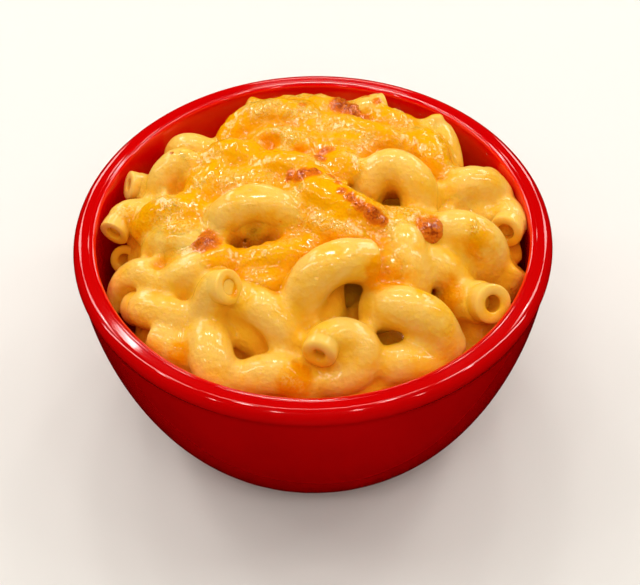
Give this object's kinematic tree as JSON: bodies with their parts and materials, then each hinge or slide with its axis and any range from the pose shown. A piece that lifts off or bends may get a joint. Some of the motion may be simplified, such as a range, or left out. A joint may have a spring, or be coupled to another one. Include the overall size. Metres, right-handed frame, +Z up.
{
  "type": "macaroni cheese in a bowl",
  "caption": "Round glazed bowl with a thick rolled lip, heaped with elbow macaroni under melted, browned cheese.",
  "frame": {"origin": "on the surface it stands on, under the bowl's axis", "axes": "+Z up along the bowl's axis, -Y towards the front, +X to the right seen from the front"},
  "size_m": [0.112, 0.112, 0.0681],
  "materials": {
    "glaze": "glossy red glaze on stoneware",
    "pasta": "cooked pasta with a moist coat of cheese sauce",
    "melted_cheese": "melted cheese, oily and blistered, browned in spots",
    "cheese_sauce": "thick glossy cheese sauce"
  },
  "bodies": {
    "root": {"bowl": "glaze", "macaroni_heap": "pasta"}
  },
  "joints": []
}
